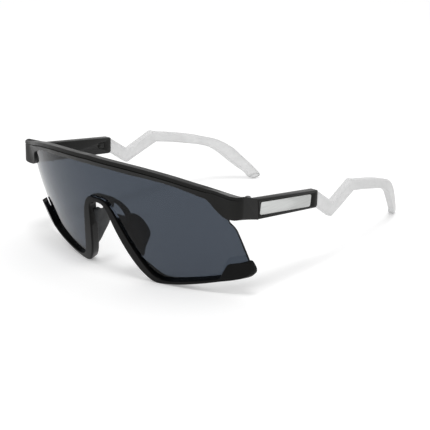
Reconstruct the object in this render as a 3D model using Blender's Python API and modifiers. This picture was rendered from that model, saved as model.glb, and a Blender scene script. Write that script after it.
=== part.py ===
# Sport sunglasses: a wrapped shield lens in a brow bar and a lower rim, on two folding temples.
# Metres, +Z up. X runs across the front, -Y is the front, and the sunglasses stand open on z = 0.
# Left and right are the wearer's, so the left temple is at +X.

import bmesh
import bpy
from math import asin, atan2, cos, pi, radians, sin, sqrt, tan
from mathutils import Matrix

mm = 0.001

# Front as a whole. The bar, lens and rim share a frame that leans forward at the top.
half_width = 71 * mm
rise = 32 * mm
foot_flat = 0.5 * mm
apex_forward = 80.4 * mm
front_tilt = radians(16)
wrap_radius = 118 * mm
bow_radius = 250 * mm
fit_gap = 0.3 * mm
cut_over = 4 * mm
weld_gap = 0.003 * mm

# Brow bar and its two end blocks
bar_proud = 1.5 * mm
bar_depth = 5 * mm
bar_fall = radians(22)
bar_edge = 1.1 * mm
block_proud = 6.2 * mm
block_top_proud = 4 * mm
block_corner = 2 * mm

# Lens
lens_thickness = 1.8 * mm
lens_tuck = 1.6 * mm
rim_tuck = 0.9 * mm

# Lower rim. Its two faces are flatter than the lens.
rim_ease = 12 * mm
rim_back_ease = 4 * mm
rim_proud = 1.2 * mm
rim_depth = 3.4 * mm
rim_blank = 13.6 * mm

# Nose piece
nose_plate = 2.6 * mm
pad_clear = 0.4 * mm
pad_reach = 10.6 * mm
pad_length = 21 * mm
pad_thickness = 1.8 * mm
pad_flare_radius = 30 * mm
pad_top = 1 * mm

# Hinges. Each axis stands upright.
hinge_inset = 6.8 * mm
hinge_behind = 11.8 * mm
hinge_up = 4.5 * mm
seam_ahead = 1.2 * mm
knuckle_radius = 1.9 * mm
screw_radius = 0.7 * mm
screw_head_radius = 1.2 * mm
screw_head_height = 0.5 * mm
middle_lug = 2.4 * mm
fork_lug = 1.6 * mm
fork_base = 0.9 * mm
fork_inner_reach = 3 * mm
leaf_thickness = 1.1 * mm
leaf_length = 5 * mm
leaf_height = 4.8 * mm
leaf_round = 1.2 * mm

# Temples
temple_fall = radians(7.8)
seam_lean = radians(13)
shell_thickness = 4.5 * mm
shell_length = 43.9 * mm
shell_top = 4 * mm
shell_front_drop = 5.3 * mm
shell_rear_drop = 4.5 * mm
shell_end_lean = radians(5)
shell_round = 0.6 * mm
shell_corner = 1.4 * mm
plate_start = 1.9 * mm
plate_length = 36.3 * mm
plate_height = 5.7 * mm
plate_thickness = 0.8 * mm
plate_proud = 0.2 * mm
plate_drop = 0.35 * mm
plate_corner = 0.9 * mm
socket_depth = 13.6 * mm
socket_height = 5.2 * mm
socket_width = 2.2 * mm
inner_wall = 1 * mm
catch_length = 4.2 * mm
catch_height = 2.8 * mm
catch_thickness = 1 * mm
catch_back = 5.4 * mm

# Ear stems
stem_thickness = 3.6 * mm
stem_round = 0.8 * mm
stem_length = 98 * mm
stem_drop = 28 * mm
stem_inset = 20 * mm

# Outlines of the front, as shares of half_width across and of rise upwards
brow_top_shares = (
    (0, 1.006), (0.201, 0.981), (0.351, 0.944), (0.486, 0.885), (0.608, 0.808),
    (0.721, 0.711), (0.828, 0.611), (0.879, 0.55), (0.928, 0.505), (1, 0.475),
)
brow_lip_shares = (
    (0, 0.859), (0.183, 0.844), (0.335, 0.803), (0.472, 0.756), (0.597, 0.681), (0.71, 0.566),
    (0.765, 0.497), (0.789, 0.473), (0.804, 0.441), (0.823, 0.375), (0.839, 0.309),
    (0.862, 0.228), (0.88, 0.185), (0.901, 0.168), (0.959, 0.175), (1, 0.19),
)
brow_station_shares = (
    0, 0.07, 0.14, 0.21, 0.28, 0.35, 0.42, 0.49, 0.56, 0.62, 0.68, 0.73, 0.765, 0.785, 0.8, 0.812,
    0.823, 0.835, 0.847, 0.862, 0.88, 0.9, 0.92,
)
block_start_share = 0.765
block_seat_share = 0.85
lens_shoulder_share = 0.85
lens_side_shares = (
    (0.889, 0.13), (0.901, 0.09), (0.911, 0.04), (0.918, -0.013), (0.922, -0.063),
    (0.931, -0.231), (0.938, -0.4), (0.943, -0.6),
)
rim_inner_shares = (
    (0, 0.328), (0.044, 0.326), (0.079, 0.275), (0.117, 0.184), (0.139, 0.106), (0.166, -0.059),
    (0.214, -0.356), (0.263, -0.628), (0.311, -0.83), (0.366, -0.925), (0.438, -0.943),
    (0.51, -0.925), (0.642, -0.884), (0.776, -0.832), (0.821, -0.71), (0.844, -0.645),
    (0.863, -0.609), (0.884, -0.603), (0.905, -0.605), (0.935, -0.608),
)
rim_outer_shares = (
    (0.95, -0.612), (0.957, -0.66), (0.961, -0.71), (0.963, -0.765), (0.958, -0.81),
    (0.94, -0.842), (0.91, -0.856), (0.88, -0.864), (0.83, -0.88), (0.78, -0.893),
    (0.654, -0.943), (0.514, -0.992), (0.445, -1.009), (0.385, -1.019), (0.331, -1.02),
    (0.301, -0.998), (0.276, -0.957), (0.223, -0.803), (0.176, -0.584), (0.131, -0.319), (0.086, -0.063),
    (0.049, 0.1), (0, 0.141),
)
nose_outer_shares = (
    (0, 0.288), (0.056, 0.27), (0.105, 0.205), (0.134, 0.11), (0.159, 0), (0.183, -0.125),
    (0.211, -0.28), (0.232, -0.4), (0.24, -0.47),
)
nose_inner_top_shares = ((0.08, 0.15), (0.05, 0.2), (0, 0.22))

# Side outline of a nose pad, as shares of pad_reach backwards and of pad_length upwards
pad_leaf_shares = (
    (0, -0.02), (0.3, 0), (0.62, -0.08), (0.92, -0.24), (1, -0.48), (0.96, -0.7), (0.62, -0.86),
    (0.28, -0.96), (0, -1),
)

# Outlines of an ear stem, as shares of stem_length along and of stem_drop upwards from the shell's end
stem_top_shares = ((0.136, -0.255), (0.298, 0.068))
stem_back_shares = (
    (0.345, 0.042), (0.436, 0.018), (0.58, -0.035), (0.678, -0.095), (0.777, -0.168), (0.87, -0.325),
    (0.92, -0.465), (0.965, -0.595), (1.014, -0.747), (1.049, -0.86),
)
stem_tip_shares = ((1.054, -0.92), (1.042, -0.969), (1.019, -0.984), (0.999, -0.97))
stem_knee_shares = ((0.138, -0.525),)
stem_under_shares = (
    (0.974, -0.872), (0.922, -0.75), (0.861, -0.6), (0.785, -0.42), (0.735, -0.33),
    (0.665, -0.268), (0.555, -0.218), (0.444, -0.178), (0.345, -0.155),
)
stem_inset_shares = (
    (0, 0), (0.12, 0.008), (0.31, 0.1), (0.44, 0.18), (0.56, 0.275), (0.67, 0.38), (0.775, 0.51),
    (0.857, 0.66), (0.918, 0.78), (0.968, 0.89), (1.06, 1.1),
)

# Fineness of curved surfaces
run_steps = 2
wrap_steps = 34
bow_steps = 6
round_steps = 20
corner_steps = 3
smooth_limit = radians(35)
bevel_limit = radians(50)
flat_limit = radians(0.1)

# How each flat outline is turned to face its view
views = {"front": (pi / 2, 0, 0), "side": (pi / 2, 0, pi / 2), "plan": (0, 0, 0)}


def collection(name):
    made = bpy.data.collections.new(name)
    bpy.context.scene.collection.children.link(made)
    return made


for old in list(bpy.data.objects):
    bpy.data.objects.remove(old)
parts = collection("sunglasses")
cutters = collection("cutters")


def material(name, color, roughness, metallic=0, transmission=0):
    made = bpy.data.materials.new(name)
    made.use_nodes = True
    shader = made.node_tree.nodes["Principled BSDF"]
    shader.inputs["Base Color"].default_value = (*color, 1)
    shader.inputs["Roughness"].default_value = roughness
    shader.inputs["Metallic"].default_value = metallic
    shader.inputs["Transmission Weight"].default_value = transmission
    made.diffuse_color = (*color, 1)
    return made


def frame(name, place, lean=0, carrier=None):
    """An empty that carries pieces, leaning about X."""
    made = bpy.data.objects.new(name, None)
    made.parent = carrier
    made.location = place
    made.rotation_euler = (lean, 0, 0)
    parts.objects.link(made)
    return made


def finish(made, name, carrier, look):
    """Files an object as a part with its look, or as a hidden cutter where it has none."""
    made.name = name
    made.data.name = name
    made.parent = carrier
    if look is None:
        cutters.objects.link(made)
        made.hide_render = True
        made.display_type = "WIRE"
        return made
    parts.objects.link(made)
    made.data.materials.clear()
    made.data.materials.append(look)
    made.data.shade_smooth()
    made.data.set_sharp_from_angle(angle=smooth_limit)
    return made


def prism(name, points, low, high, view, carrier, look=None):
    """A closed outline, filled and extruded from low to high along the depth of its view."""
    curve = bpy.data.curves.new(name, "CURVE")
    curve.dimensions = "2D"
    curve.fill_mode = "BOTH"
    curve.extrude = (high - low) / 2
    spline = curve.splines.new("POLY")
    spline.points.add(len(points) - 1)
    for knot, (across, up) in zip(spline.points, points):
        knot.co = (across, up, 0, 1)
    spline.use_cyclic_u = True
    drawn = bpy.data.objects.new(name + "_outline", curve)
    parts.objects.link(drawn)
    bpy.context.view_layer.update()
    mesh = bpy.data.meshes.new_from_object(drawn.evaluated_get(bpy.context.evaluated_depsgraph_get()))
    bpy.data.objects.remove(drawn)
    welded = bmesh.new()
    welded.from_mesh(mesh)
    bmesh.ops.remove_doubles(welded, verts=welded.verts, dist=weld_gap)
    bmesh.ops.dissolve_limit(welded, angle_limit=flat_limit, verts=welded.verts, edges=welded.edges)
    bmesh.ops.recalc_face_normals(welded, faces=welded.faces)
    welded.to_mesh(mesh)
    welded.free()
    made = bpy.data.objects.new(name, mesh)
    middle = (low + high) / 2
    depth = {"front": (0, middle, 0), "side": (middle, 0, 0), "plan": (0, 0, middle)}
    made.rotation_euler = views[view]
    made.location = depth[view]
    return finish(made, name, carrier, look)


def cylinder(name, radius, low, high, carrier, look=None):
    """A round bar along the hinge axis."""
    mesh = bpy.data.meshes.new(name)
    body = bmesh.new()
    bmesh.ops.create_cone(
        body, cap_ends=True, segments=round_steps, radius1=radius, radius2=radius, depth=high - low)
    body.to_mesh(mesh)
    body.free()
    made = bpy.data.objects.new(name, mesh)
    made.location = (0, 0, (low + high) / 2)
    return finish(made, name, carrier, look)


def boolean(target, cutter, operation):
    step = target.modifiers.new(operation.lower() + "_" + cutter.name, "BOOLEAN")
    step.operation = operation
    step.object = cutter
    step.solver = "EXACT"


def bevel(target, width, segments):
    step = target.modifiers.new("rounded_edges", "BEVEL")
    step.width = width
    step.segments = segments
    step.limit_method = "ANGLE"
    step.angle_limit = bevel_limit


def mirrored(source, name, carrier, look):
    """The other side's copy of a finished piece."""
    bpy.context.view_layer.update()
    done = source.evaluated_get(bpy.context.evaluated_depsgraph_get())
    mesh = bpy.data.meshes.new_from_object(done)
    home = front if carrier is front else source.parent
    mesh.transform(Matrix.Scale(-1, 4, (1, 0, 0)) @ home.matrix_world.inverted() @ source.matrix_world)
    mesh.flip_normals()
    return finish(bpy.data.objects.new(name, mesh), name, carrier, look)


def scaled(shares, across, up):
    return [(share_x * across, share_y * up) for share_x, share_y in shares]


def slopes(points):
    """Tangent at each point of a run, from its neighbours."""
    made = []
    for index, point in enumerate(points):
        before = points[max(index - 1, 0)]
        after = points[min(index + 1, len(points) - 1)]
        span = sqrt((after[0] - before[0]) ** 2 + (after[1] - before[1]) ** 2)
        made.append(((after[0] - before[0]) / span, (after[1] - before[1]) / span))
    return made


def run(points, steps=run_steps):
    """A smooth polyline through the points."""
    made = [points[0]]
    tangents = slopes(points)
    for index in range(len(points) - 1):
        start, end = points[index], points[index + 1]
        span = sqrt((end[0] - start[0]) ** 2 + (end[1] - start[1]) ** 2)
        for step in range(1, steps + 1):
            t = step / steps
            weights = (2 * t ** 3 - 3 * t ** 2 + 1, t ** 3 - 2 * t ** 2 + t,
                       3 * t ** 2 - 2 * t ** 3, t ** 3 - t ** 2)
            made.append(tuple(
                weights[0] * start[k] + weights[1] * span * tangents[index][k]
                + weights[2] * end[k] + weights[3] * span * tangents[index + 1][k]
                for k in (0, 1)))
    return made


def height_at(points, x):
    """Height of a smooth left-to-right curve at x."""
    index = 0
    while index < len(points) - 2 and points[index + 1][0] < x:
        index += 1
    (x0, y0), (x1, y1) = points[index], points[index + 1]
    grades = []
    for k in (index, index + 1):
        before = points[max(k - 1, 0)]
        after = points[min(k + 1, len(points) - 1)]
        grades.append((after[1] - before[1]) / (after[0] - before[0]))
    t = (x - x0) / (x1 - x0)
    return ((2 * t ** 3 - 3 * t ** 2 + 1) * y0 + (t ** 3 - 2 * t ** 2 + t) * (x1 - x0) * grades[0]
            + (3 * t ** 2 - 2 * t ** 3) * y1 + (t ** 3 - t ** 2) * (x1 - x0) * grades[1])


def offset(points, distance):
    """The polyline moved to its left by distance."""
    return [(x - distance * dy, y + distance * dx) for (x, y), (dx, dy) in zip(points, slopes(points))]


def both_sides(half):
    """A closed outline from its right half, which starts and ends on the middle plane."""
    return half + [(-x, y) for x, y in reversed(half[1:-1])]


def arc(centre, radius, start, turn, steps=corner_steps):
    """Points of a round corner."""
    return [(centre[0] + radius * cos(start + turn * k / steps),
             centre[1] + radius * sin(start + turn * k / steps)) for k in range(steps + 1)]


def rounded_box(low_x, high_x, low_y, high_y, radius):
    """A rectangle with four round corners."""
    corners = ((high_x - radius, high_y - radius, 0), (low_x + radius, high_y - radius, pi / 2),
               (low_x + radius, low_y + radius, pi), (high_x - radius, low_y + radius, 3 * pi / 2))
    return [point for x, y, start in corners for point in arc((x, y), radius, start, pi / 2)]


# Looks
matt_black = material("matt_black", (0.018, 0.018, 0.018), 0.5)
gloss_black = material("gloss_black", (0.012, 0.012, 0.012), 0.25)
smoke = material("smoke_lens", (0.1, 0.11, 0.13), 0.05, transmission=0.5)
rubber = material("charcoal_rubber", (0.03, 0.03, 0.032), 0.8)
pale_metal = material("pale_metal", (0.62, 0.63, 0.63), 0.35, metallic=0.4)
frosted = material("frosted_clear", (0.72, 0.72, 0.72), 0.4, transmission=0.3)
steel = material("steel", (0.4, 0.4, 0.41), 0.3, metallic=1)


def wrap_depth(x, v, radius=wrap_radius, face=0):
    """Depth of a wrapped surface behind the apex."""
    reach = radius - face - v * v / (2 * bow_radius)
    return radius - sqrt(reach * reach - x * x)


# Front outlines in metres
brow_top = scaled(brow_top_shares, half_width, rise)
brow_lip = scaled(brow_lip_shares, half_width, rise)
lens_side = run(scaled(lens_side_shares, half_width, rise))
rim_inner = run(scaled(rim_inner_shares, half_width, rise))
rim_outer = run(scaled(rim_outer_shares, half_width, rise))
shell_inner_x = half_width - shell_thickness
front_reach = 2 * rise
rim_radius = wrap_radius + rim_ease

# Frames. The front stands on the two corners of its rim, ground flat by a little.
foot_height = min(wrap_depth(x, v, rim_radius, -rim_proud) * sin(front_tilt) + v * cos(front_tilt)
                  for x, v in rim_outer)
apex_height = -foot_flat - foot_height
pivot_x = half_width - hinge_inset
pivot_v = hinge_up
pivot_w = wrap_depth(pivot_x, pivot_v) + hinge_behind
pivot_y = pivot_w * cos(front_tilt) - pivot_v * sin(front_tilt) - apex_forward
hinge_height = pivot_w * sin(front_tilt) + pivot_v * cos(front_tilt) + apex_height
seat_back = knuckle_radius + fork_base + 2 * fit_gap
seat_reach = middle_lug / 2 + fork_lug + 2 * fit_gap
front = frame("front_frame", (0, -apex_forward, apex_height), front_tilt)
fixed_left = frame("hinge_left_axis", (pivot_x, pivot_y, hinge_height))
fixed_right = frame("hinge_right_axis", (-pivot_x, pivot_y, hinge_height))
pin_left = frame("temple_left_axis", (pivot_x, pivot_y, hinge_height))
pin_right = frame("temple_right_axis", (-pivot_x, pivot_y, hinge_height))
swing_left = frame("temple_left_slope", (0, 0, 0), -temple_fall, pin_left)
swing_right = frame("temple_right_slope", (0, 0, 0), -temple_fall, pin_right)


def wrap_slab(name, radius, face, thickness):
    """A wrapped sheet from the depth of its front face backwards, wider than the front."""
    sweep = 2 * asin((half_width + cut_over) / radius)
    top = rise + cut_over
    mesh = bpy.data.meshes.new(name)
    profile = bmesh.new()
    levels = [top * (1 - 2 * k / bow_steps) for k in range(bow_steps + 1)]
    knots = [profile.verts.new((radius - v * v / (2 * bow_radius) - face, 0, v)) for v in levels]
    for first, second in zip(knots, knots[1:]):
        profile.edges.new((first, second))
    profile.to_mesh(mesh)
    profile.free()
    made = bpy.data.objects.new(name, mesh)
    made.location = (0, radius, 0)
    made.rotation_euler = (0, 0, -pi / 2 - sweep / 2)
    turned = made.modifiers.new("wrap", "SCREW")
    turned.angle = sweep
    turned.steps = wrap_steps
    turned.render_steps = wrap_steps
    turned.use_merge_vertices = False
    thick = made.modifiers.new("thickness", "SOLIDIFY")
    thick.thickness = thickness
    thick.offset = -1
    thick.use_even_offset = True
    return finish(made, name, front, None)


def blend(x, start, end):
    """Eases from 0 at start to 1 at end."""
    t = min(max((x - start) / (end - start), 0), 1)
    return t * t * (3 - 2 * t)


def lens_outline(grow):
    """The lens with its hidden edges tucked into the bar and the rim, grown by a clearance."""
    shoulder = lens_shoulder_share * half_width
    lip = [(x, height_at(brow_lip, x)) for x in
           (share * half_width for share in brow_station_shares) if x <= shoulder]
    upper = offset(lip, lens_tuck + grow)
    upper[0] = (0, upper[0][1])
    side = offset(lens_side, grow)
    lower = offset(rim_inner, -(rim_tuck + grow))
    lower[0] = (0, lower[0][1])
    inside = [point for point in lower if point[0] < side[-1][0]]
    return both_sides(upper + side + list(reversed(inside)))


def by_axis(back, up, lean):
    """A point of the front's depth and height plane, set out from the hinge in a leaning frame."""
    return (pivot_w + back * cos(lean) + up * sin(lean), pivot_v - back * sin(lean) + up * cos(lean))


def between(start, end, share):
    return tuple(a + share * (b - a) for a, b in zip(start, end))


def brow_ring(x):
    """One section of the half bar, as depth and height pairs from the lip round to the rear."""
    share = blend(x, block_start_share * half_width, block_seat_share * half_width)
    end = blend(x, block_seat_share * half_width, half_width)
    lip = height_at(brow_lip, x)
    top = height_at(brow_top, x)
    turn = max(x - (half_width - block_corner), 0)
    corner = block_corner - sqrt(max(block_corner ** 2 - turn ** 2, 0))
    low_proud = bar_proud + end * (block_proud - bar_proud)
    top_proud = bar_proud + end * (block_top_proud - bar_proud)
    lip_w = wrap_depth(x, lip) - low_proud
    edge_w = wrap_depth(x, top - bar_edge) - top_proud
    top_w = wrap_depth(x, top) - top_proud + bar_edge / 2
    bar_w = wrap_depth(x, lip) - bar_proud + bar_depth
    if x > shell_inner_x - fit_gap / 2:
        lean = front_tilt + temple_fall
        high = by_axis(-seam_ahead - shell_top * tan(seam_lean), shell_top, lean)
        low = by_axis(-seam_ahead + shell_front_drop * tan(seam_lean), -shell_front_drop, lean)
    else:
        high = by_axis(-seat_back, seat_reach, front_tilt)
        low = by_axis(-seat_back, -seat_reach, front_tilt)
    high = between((bar_w, top - (bar_w - top_w) * tan(bar_fall)), high, share)
    low = between((bar_w, lip), low, share)
    level = corner * tan(front_tilt)
    face = [(w + corner, v - level) for w, v in ((lip_w, lip), (edge_w, top - bar_edge), (top_w, top))]
    return face + [high, low]


def brow_frame():
    """The brow bar: a loft of changing sections, mirrored, with the lens groove cut into it."""
    stations = [share * half_width for share in brow_station_shares]
    stations += [shell_inner_x - fit_gap, shell_inner_x]
    turn = half_width - block_corner
    stations += [turn + block_corner * sin(pi / 2 * k / corner_steps) for k in range(corner_steps + 1)]
    mesh = bpy.data.meshes.new("brow_frame")
    body = bmesh.new()
    rings = []
    for x in sorted(stations):
        rings.append([body.verts.new((x, w, v)) for w, v in brow_ring(x)])
    for inner, outer in zip(rings, rings[1:]):
        for k in range(len(inner)):
            after = (k + 1) % len(inner)
            body.faces.new((inner[k], inner[after], outer[after], outer[k]))
    body.faces.new(rings[-1])
    bmesh.ops.recalc_face_normals(body, faces=body.faces)
    body.to_mesh(mesh)
    body.free()
    made = finish(bpy.data.objects.new("brow_frame", mesh), "brow_frame", front, matt_black)
    halves = made.modifiers.new("both_sides", "MIRROR")
    halves.use_axis = (True, False, False)
    halves.use_clip = True
    halves.merge_threshold = weld_gap
    return made


brow = brow_frame()
groove_outline = prism("lens_groove_outline", lens_outline(fit_gap), -rise, front_reach, "front", front)
groove = wrap_slab("lens_groove", wrap_radius, -fit_gap, lens_thickness + 2 * fit_gap)
boolean(groove, groove_outline, "INTERSECT")
boolean(brow, groove, "DIFFERENCE")

# Lens
lens_sheet = wrap_slab("lens_sheet", wrap_radius, 0, lens_thickness)
lens = prism("lens", lens_outline(0), -rise, front_reach, "front", front, smoke)
boolean(lens, lens_sheet, "INTERSECT")

# Lower rim
rim = prism("lower_rim", both_sides(rim_inner + rim_outer), -rise, front_reach, "front", front, gloss_black)
rim_front = wrap_slab("rim_front", rim_radius, -rim_proud, rim_blank)
rim_back = wrap_slab("rim_back", wrap_radius + rim_back_ease, rim_depth, rise)
boolean(rim, rim_front, "INTERSECT")
boolean(rim, rim_back, "DIFFERENCE")
boolean(rim, groove, "DIFFERENCE")
table = prism("table_cut", rounded_box(-half_width, half_width, -apex_forward - rise, rise, cut_over),
              -rise, 0, "plan", None)
boolean(rim, table, "DIFFERENCE")

# Nose piece: a carrier behind the rim's arch and two pads
pad_front = rim_depth + fit_gap
rim_nose = list(reversed(rim_outer))


def nose_side_at(v):
    """How far out the rim's nose side is at a height."""
    index = 0
    while rim_nose[index + 1][1] > v:
        index += 1
    (x0, v0), (x1, v1) = rim_nose[index], rim_nose[index + 1]
    return x0 + (x1 - x0) * (v - v0) / (v1 - v0)


pad_x = nose_side_at(pad_top) + pad_clear
nose_slope = atan2(nose_side_at(pad_top - pad_length) - nose_side_at(pad_top), pad_length)
foot_x = pad_x + pad_length * tan(nose_slope)
foot_v = pad_top - pad_length
foot_back = wrap_depth(foot_x, foot_v) - wrap_depth(pad_x, pad_top)
inner_flare = pad_flare_radius - pad_thickness
carrier_flare = inner_flare - sqrt(inner_flare ** 2 - (nose_plate + foot_back) ** 2)


def pad_outer_x(v):
    """Where a carrier's side clears the outer face of its pad."""
    across = pad_thickness + fit_gap + carrier_flare
    return pad_x + (pad_top - v) * tan(nose_slope) + across / cos(nose_slope)


nose_outer = run(scaled(nose_outer_shares, half_width, rise))
nose_levels = [nose_outer[-1][1] + (pad_top - nose_outer[-1][1]) * k / corner_steps
               for k in range(corner_steps + 1)]
nose_side = [(pad_outer_x(v), v) for v in nose_levels]
nose_top = scaled(nose_inner_top_shares, half_width, rise)
bridge = prism("nose_bridge", both_sides(nose_outer + nose_side + nose_top), -rise, front_reach,
               "front", front, matt_black)
bridge_sheet = wrap_slab("nose_bridge_sheet", wrap_radius, pad_front, nose_plate)
boolean(bridge, bridge_sheet, "INTERSECT")


def nose_pad():
    """A soft wing that leans with the nose and flares outwards as it runs back."""
    place = frame("nose_pad_frame", (pad_x, pad_front + wrap_depth(pad_x, pad_top), pad_top), 0, front)
    place.rotation_euler = (0, -nose_slope, 0)
    steps = round_steps // 2
    turns = [asin(pad_reach / pad_flare_radius) * k / steps for k in range(steps + 1)]
    inner = [(pad_flare_radius * (1 - cos(turn)), pad_flare_radius * sin(turn)) for turn in turns]
    outer = [(pad_flare_radius - (pad_flare_radius - pad_thickness) * cos(turn),
              (pad_flare_radius - pad_thickness) * sin(turn)) for turn in turns]
    sheet = prism("nose_pad_sheet", inner + list(reversed(outer)), -pad_length - cut_over, cut_over,
                  "plan", place)
    slant = pad_length / cos(nose_slope)
    leaf = run([(y * pad_reach - z * foot_back, z * slant) for y, z in pad_leaf_shares])
    made = prism("nose_pad_left", leaf, -cut_over, pad_thickness + cut_over, "side", place, rubber)
    boolean(made, sheet, "INTERSECT")
    return made


pad_left = nose_pad()

# Hinges
steps_up = (middle_lug / 2 + fit_gap, middle_lug / 2 + fit_gap + fork_lug)


def eye(name, reach, low, high, carrier):
    """A lug with a round end about the axis that reaches back to a plate."""
    nose = arc((0, 0), knuckle_radius, pi, -pi, round_steps // 2)
    return prism(name, nose + [(knuckle_radius, -reach), (-knuckle_radius, -reach)], low, high,
                 "plan", carrier)


def frame_hinge():
    """The fork on the front: a base plate and two eyes."""
    low = -(knuckle_radius + fit_gap + fork_base)
    high = -(knuckle_radius + fit_gap)
    plate = rounded_box(-fork_inner_reach, knuckle_radius, -steps_up[1], steps_up[1], leaf_round)
    made = prism("frame_hinge_left", plate, -high, -low, "front", fixed_left, steel)
    made.location = (0, (low + high) / 2, 0)
    for level, name in ((1, "fork_eye_upper"), (-1, "fork_eye_lower")):
        ends = sorted((level * steps_up[0], level * steps_up[1]))
        boolean(made, eye(name, -(low + high) / 2, ends[0], ends[1], fixed_left), "UNION")
    bore = cylinder("fork_bore", screw_radius + fit_gap, -shell_front_drop, shell_top, fixed_left)
    boolean(made, bore, "DIFFERENCE")
    return made


leaf_outer_x = hinge_inset - shell_thickness - fit_gap
leaf_inner_x = leaf_outer_x - leaf_thickness
leaf_start = knuckle_radius + 2 * fit_gap


def temple_hinge():
    """The leaf on a temple's inner face, with its single eye."""
    leaf = rounded_box(leaf_start, leaf_start + leaf_length, -leaf_height / 2, leaf_height / 2,
                       leaf_round)
    made = prism("temple_hinge_left", leaf, leaf_inner_x, leaf_outer_x, "side", swing_left, steel)
    knuckle = cylinder("leaf_knuckle", knuckle_radius, -middle_lug / 2, middle_lug / 2, pin_left)
    neck = [(leaf_inner_x, 0), (leaf_outer_x - fit_gap, 0), (leaf_outer_x, leaf_start),
            (leaf_outer_x, leaf_start + leaf_round), (leaf_inner_x, leaf_start + leaf_round)]
    tongue = prism("leaf_neck", neck, -middle_lug / 2, middle_lug / 2, "plan", pin_left)
    boolean(made, knuckle, "UNION")
    boolean(made, tongue, "UNION")
    bore = cylinder("leaf_bore", screw_radius + fit_gap, -middle_lug, middle_lug, pin_left)
    boolean(made, bore, "DIFFERENCE")
    return made


def hinge_screw():
    """A turned pin with a low head."""
    foot = -steps_up[1]
    top = steps_up[1] + fit_gap
    profile = ((0, top + screw_head_height), (screw_head_radius, top + screw_head_height),
               (screw_head_radius, top), (screw_radius, top), (screw_radius, foot), (0, foot))
    mesh = bpy.data.meshes.new("hinge_screw_left")
    outline = bmesh.new()
    knots = [outline.verts.new((radius, 0, level)) for radius, level in profile]
    for first, second in zip(knots, knots[1:]):
        outline.edges.new((first, second))
    outline.to_mesh(mesh)
    outline.free()
    made = finish(bpy.data.objects.new("hinge_screw_left", mesh), "hinge_screw_left", fixed_left, steel)
    turned = made.modifiers.new("turned", "SCREW")
    turned.steps = round_steps
    turned.render_steps = round_steps
    turned.use_merge_vertices = True
    turned.merge_threshold = weld_gap
    return made


# Temples
shell_low_x = hinge_inset - shell_thickness
shell_high_x = hinge_inset
stem_centre_x = hinge_inset - shell_thickness / 2
shell_end = shell_length - seam_ahead
plate_from = plate_start - seam_ahead


def temple_shell():
    """The front half of a temple: a tapered bar with a plate pocket, a stem socket and a catch window."""
    rear_top = shell_end - shell_top * tan(shell_end_lean)
    rear_low = shell_end + shell_rear_drop * tan(shell_end_lean)
    outline = [(fit_gap - seam_ahead - shell_top * tan(seam_lean), shell_top), (rear_top, shell_top)]
    outline += reversed(arc((rear_low - shell_corner, -shell_rear_drop + shell_corner), shell_corner,
                            -pi / 2, pi / 2))
    outline += [(fit_gap - seam_ahead + shell_front_drop * tan(seam_lean), -shell_front_drop)]
    made = prism("temple_shell_left", outline, shell_low_x, shell_high_x, "side", swing_left, matt_black)
    bevel(made, shell_round, 2)
    pocket_floor = shell_high_x - plate_thickness + plate_proud - fit_gap
    pocket = prism("plate_pocket", plate_outline(fit_gap), pocket_floor, shell_high_x + cut_over,
                   "side", swing_left)
    socket = prism("stem_socket", rounded_box(shell_end - socket_depth, shell_end + cut_over,
                                              -socket_height / 2, socket_height / 2, fit_gap),
                   shell_low_x + inner_wall, shell_low_x + inner_wall + socket_width, "side", swing_left)
    window = prism("catch_window", catch_outline(fit_gap), shell_low_x - cut_over,
                   shell_low_x + inner_wall + fit_gap, "side", swing_left)
    boolean(made, pocket, "DIFFERENCE")
    boolean(made, socket, "DIFFERENCE")
    boolean(made, window, "DIFFERENCE")
    return made


def plate_outline(grow):
    low = -plate_drop - plate_height / 2 - grow
    high = -plate_drop + plate_height / 2 + grow
    return rounded_box(plate_from - grow, plate_from + plate_length + grow, low, high, plate_corner + grow)


def catch_outline(grow):
    """An arched tab: square at the rear, round at the front."""
    high = catch_height / 2 + grow
    rear = shell_end - catch_back + grow
    centre = (shell_end - catch_back - catch_length + catch_height / 2, 0)
    return [(rear, -high), (rear, high)] + arc(centre, high, pi / 2, pi, 2 * corner_steps)


def temple_plate():
    return prism("temple_plate_left", plate_outline(0), shell_high_x - plate_thickness + plate_proud,
                 shell_high_x + plate_proud, "side", swing_left, pale_metal)


def stem_catch():
    return prism("stem_catch_left", catch_outline(0), shell_low_x, shell_low_x + catch_thickness, "side",
                 swing_left, matt_black)


def ear_stem():
    """The rear half of a temple: a zigzag side outline met with a plan strip that turns inwards."""
    start = shell_end + fit_gap
    shoulder_top = (start - shell_top * tan(shell_end_lean), shell_top - stem_round / 2)
    shoulder_low = (start + shell_rear_drop * tan(shell_end_lean), stem_round / 2 - shell_rear_drop)
    tenon = socket_height / 2 - fit_gap
    tenon_start = start - socket_depth
    top, back, tip, under, knee = (
        [(start + x, shell_top + y) for x, y in scaled(shares, stem_length, stem_drop)]
        for shares in (stem_top_shares, stem_back_shares, stem_tip_shares, stem_under_shares,
                       stem_knee_shares))
    outline = [(tenon_start, -tenon), (tenon_start, tenon), (start, tenon), shoulder_top]
    outline += top + run(back) + run(tip) + run(under) + knee + [shoulder_low, (start, -tenon)]
    made = prism("ear_stem_left", outline, -stem_inset, hinge_inset + cut_over, "side", swing_left, frosted)
    inset = scaled(stem_inset_shares, stem_length, stem_inset)
    centre = run([(stem_centre_x - y, start + x) for x, y in inset], 3)
    half = stem_thickness / 2
    slot = socket_width / 2 - fit_gap
    slot_x = shell_low_x + inner_wall + socket_width / 2
    right = offset(centre, -half)
    left = offset(centre, half)
    plan = [(slot_x + slot, tenon_start - fit_gap), (slot_x + slot, start)] + right
    plan += list(reversed(left)) + [(slot_x - slot, start), (slot_x - slot, tenon_start - fit_gap)]
    strip = prism("stem_strip", plan, -stem_drop, stem_drop, "plan", swing_left)
    boolean(made, strip, "INTERSECT")
    return made


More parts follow.
